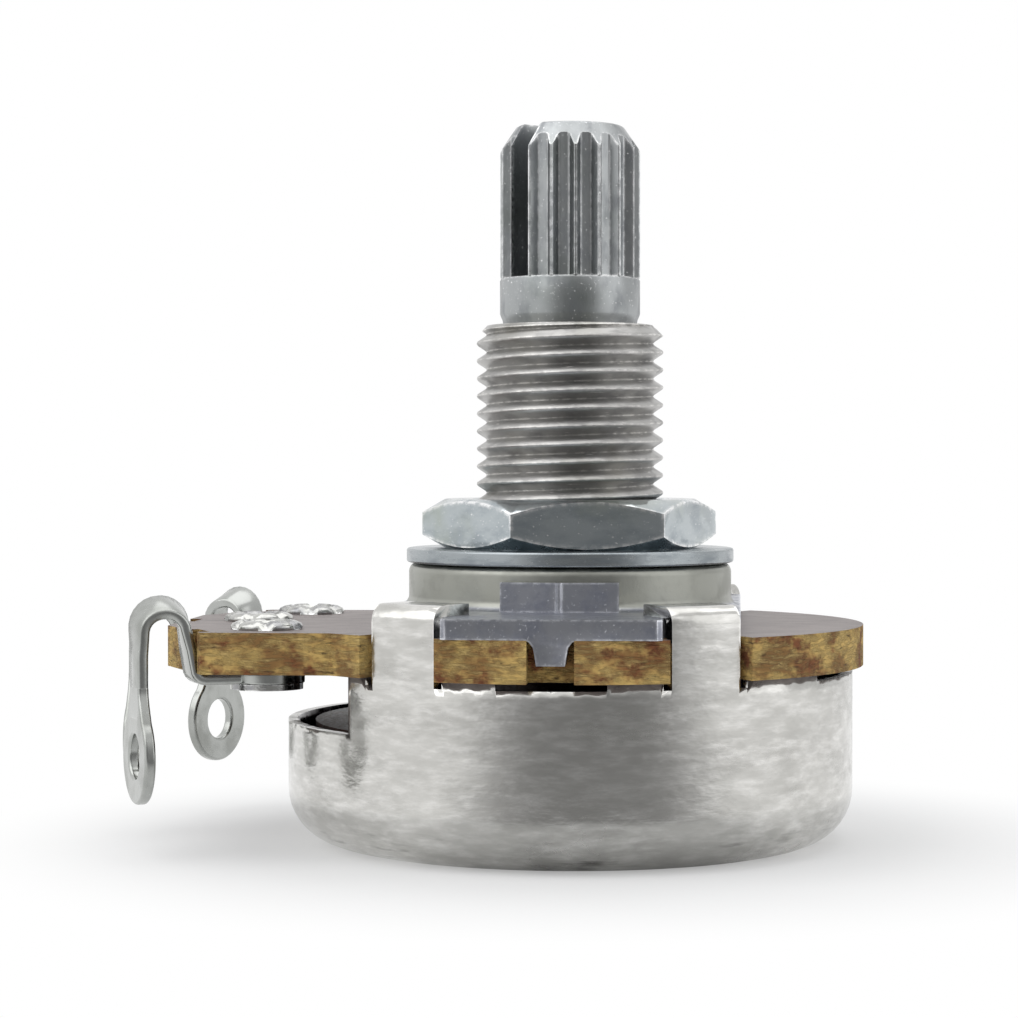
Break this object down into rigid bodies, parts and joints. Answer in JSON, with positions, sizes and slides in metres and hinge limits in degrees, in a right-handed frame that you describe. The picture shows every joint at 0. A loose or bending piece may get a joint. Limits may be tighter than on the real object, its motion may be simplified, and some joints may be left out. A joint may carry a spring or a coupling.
{
  "type": "rotary potentiometer",
  "caption": "Single-turn 24 mm rotary potentiometer with an M8 bushing, nut and washer, a 6 mm splined split shaft and three solder lugs.",
  "frame": {"origin": "middle of the rear cover's flat back", "axes": "+Z along the shaft toward its tip; the solder lugs stand toward -X; the front plate's arms lie along Y"},
  "size_m": [0.0316, 0.025, 0.0304],
  "materials": {
    "cover_steel": "satin tinned steel with faint draw marks",
    "plate_zinc": "blue zinc plating, sheared edges",
    "phenolic": "phenolic paper board, mauve grey face and brown sawn edge",
    "bushing_metal": "nickel plated, cut thread",
    "washer_steel": "dull zinc",
    "nut_steel": "bright zinc",
    "shaft_metal": "milled splines with bright ridges",
    "clip_steel": "plain spring steel",
    "thrust_brass": "half bright",
    "rotor_moulding": "dark moulded phenolic",
    "wiper_bronze": "spring bronze",
    "carbon_film": "printed carbon",
    "silver_film": "printed silver",
    "lug_tin": "tinned brass strip",
    "eyelet_tin": "tinned, rolled over"
  },
  "bodies": {
    "housing": {"rear_cover": "cover_steel", "front_plate": "plate_zinc", "wafer": "phenolic", "bushing": "bushing_metal", "flat_washer": "washer_steel", "resistive_track": "carbon_film", "collector_ring": "silver_film", "end_pad_front": "silver_film", "end_pad_rear": "silver_film", "lug_front": "lug_tin", "lug_middle": "lug_tin", "lug_rear": "lug_tin", "eyelet_front": "eyelet_tin", "eyelet_middle": "eyelet_tin", "eyelet_rear": "eyelet_tin"},
    "rotor": {"shaft": "shaft_metal", "retaining_ring": "clip_steel", "thrust_washer": "thrust_brass", "rotor": "rotor_moulding", "drive_washer": "clip_steel", "wiper": "wiper_bronze"},
    "nut": {"hex_nut": "nut_steel"}
  },
  "joints": [
    {"name": "shaft_turn", "type": "hinge", "parent": "housing", "child": "rotor", "pos_m": [0, 0, 0.0117], "axis": [0, 0, 1], "range_deg": [-150, 150]},
    {"name": "nut_travel", "type": "slide", "parent": "housing", "child": "nut", "axis": [0, 0, 1], "range_m": [0, 0.0182]}
  ]
}
